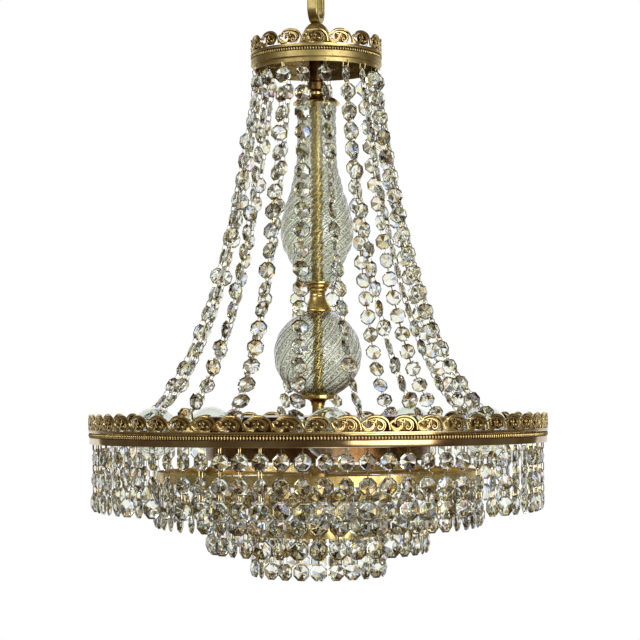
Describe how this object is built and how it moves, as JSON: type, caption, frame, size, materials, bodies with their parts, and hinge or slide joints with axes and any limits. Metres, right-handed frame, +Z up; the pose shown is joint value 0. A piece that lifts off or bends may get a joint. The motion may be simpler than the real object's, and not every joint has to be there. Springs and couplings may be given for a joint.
{
  "type": "crystal chandelier",
  "caption": "Crystal chandelier with a brass crown, glass column, bead strands flaring to a scrolled brass ring with lamps, and tiers of hanging drops.",
  "frame": {"origin": "the seat of the hanging loop, where a ceiling hook or chain bears on its inner top", "axes": "+Z up along the stem, -Y the front, +X to the right of a person in front"},
  "size_m": [0.456, 0.456, 0.5943],
  "materials": {
    "gilt_brass": "polished, aged gilt",
    "gallery_brass": "cast, aged gilt with dark recesses",
    "band_brass": "polished, aged",
    "drum_brass": "polished, dark",
    "dark_brass": "dark, aged",
    "sleeve_brass": "satin",
    "plain_brass": "plain",
    "brass_wire": "bright wire",
    "vase_glass": "clear, moulded ribs",
    "ball_glass": "clear, cut",
    "crystal": "clear, cut",
    "bulb_glass": "clear",
    "nickel": "nickel plated",
    "holder_brass": "satin",
    "ivory_plastic": "moulded"
  },
  "bodies": {
    "loop": {"suspension_loop": "gilt_brass", "swivel_nut": "plain_brass"},
    "fixture": {"ball_cup": "gilt_brass", "brass_spool": "gilt_brass", "crown_band": "band_brass", "crown_gallery": "gallery_brass", "crown_hooks": "brass_wire", "crown_plate": "drum_brass", "drop_links": "brass_wire", "drum_bottom": "drum_brass", "drum_shell": "drum_brass", "drum_top": "drum_brass", "glass_ball": "ball_glass", "glass_vase": "vase_glass", "holder_nuts": "plain_brass", "lampholder_1": "holder_brass", "lampholder_2": "holder_brass", "lampholder_3": "holder_brass", "lampholder_4": "holder_brass", "lampholder_5": "holder_brass", "lower_sleeve": "sleeve_brass", "ring_band": "band_brass", "ring_gallery": "gallery_brass", "ring_spokes": "plain_brass", "rod_nuts": "plain_brass", "spoke_screws": "plain_brass", "stem_collar": "gilt_brass", "stem_coupling": "dark_brass", "stem_rod": "sleeve_brass", "swag_beads": "crystal", "swag_links": "brass_wire", "swag_pins": "brass_wire", "terminal_block": "ivory_plastic", "tier1_beads": "crystal", "tier2_band": "band_brass", "tier2_beads": "crystal", "tier2_spider": "plain_brass", "tier3_band": "band_brass", "tier3_beads": "crystal", "tier3_spider": "plain_brass", "tier4_band": "band_brass", "tier4_beads": "crystal", "tier4_spider": "plain_brass", "top_hub": "gilt_brass", "vase_cap": "gilt_brass", "vase_sleeve": "sleeve_brass"},
    "bulb_1": {"bulb_globe_1": "bulb_glass", "bulb_cap_1": "nickel"},
    "bulb_2": {"bulb_globe_2": "bulb_glass", "bulb_cap_2": "nickel"},
    "bulb_3": {"bulb_globe_3": "bulb_glass", "bulb_cap_3": "nickel"},
    "bulb_4": {"bulb_globe_4": "bulb_glass", "bulb_cap_4": "nickel"},
    "bulb_5": {"bulb_globe_5": "bulb_glass", "bulb_cap_5": "nickel"}
  },
  "joints": [
    {"name": "loop_swivel", "type": "hinge", "parent": "loop", "child": "fixture", "pos_m": [0, 0, -0.036], "axis": [0, 0, 1], "range_deg": [-180, 180]},
    {"name": "lamp_1_unscrew", "type": "slide", "parent": "fixture", "child": "bulb_1", "axis": [0.0628, -0.998, 0], "range_m": [0, 0.018]},
    {"name": "lamp_2_unscrew", "type": "slide", "parent": "fixture", "child": "bulb_2", "axis": [0.9938, -0.1115, 0], "range_m": [0, 0.018]},
    {"name": "lamp_3_unscrew", "type": "slide", "parent": "fixture", "child": "bulb_3", "axis": [0.5934, 0.8049, 0], "range_m": [0, 0.018]},
    {"name": "lamp_4_unscrew", "type": "slide", "parent": "fixture", "child": "bulb_4", "axis": [-0.6896, 0.7242, 0], "range_m": [0, 0.018]},
    {"name": "lamp_5_unscrew", "type": "slide", "parent": "fixture", "child": "bulb_5", "axis": [-0.972, -0.2351, 0], "range_m": [0, 0.018]}
  ]
}
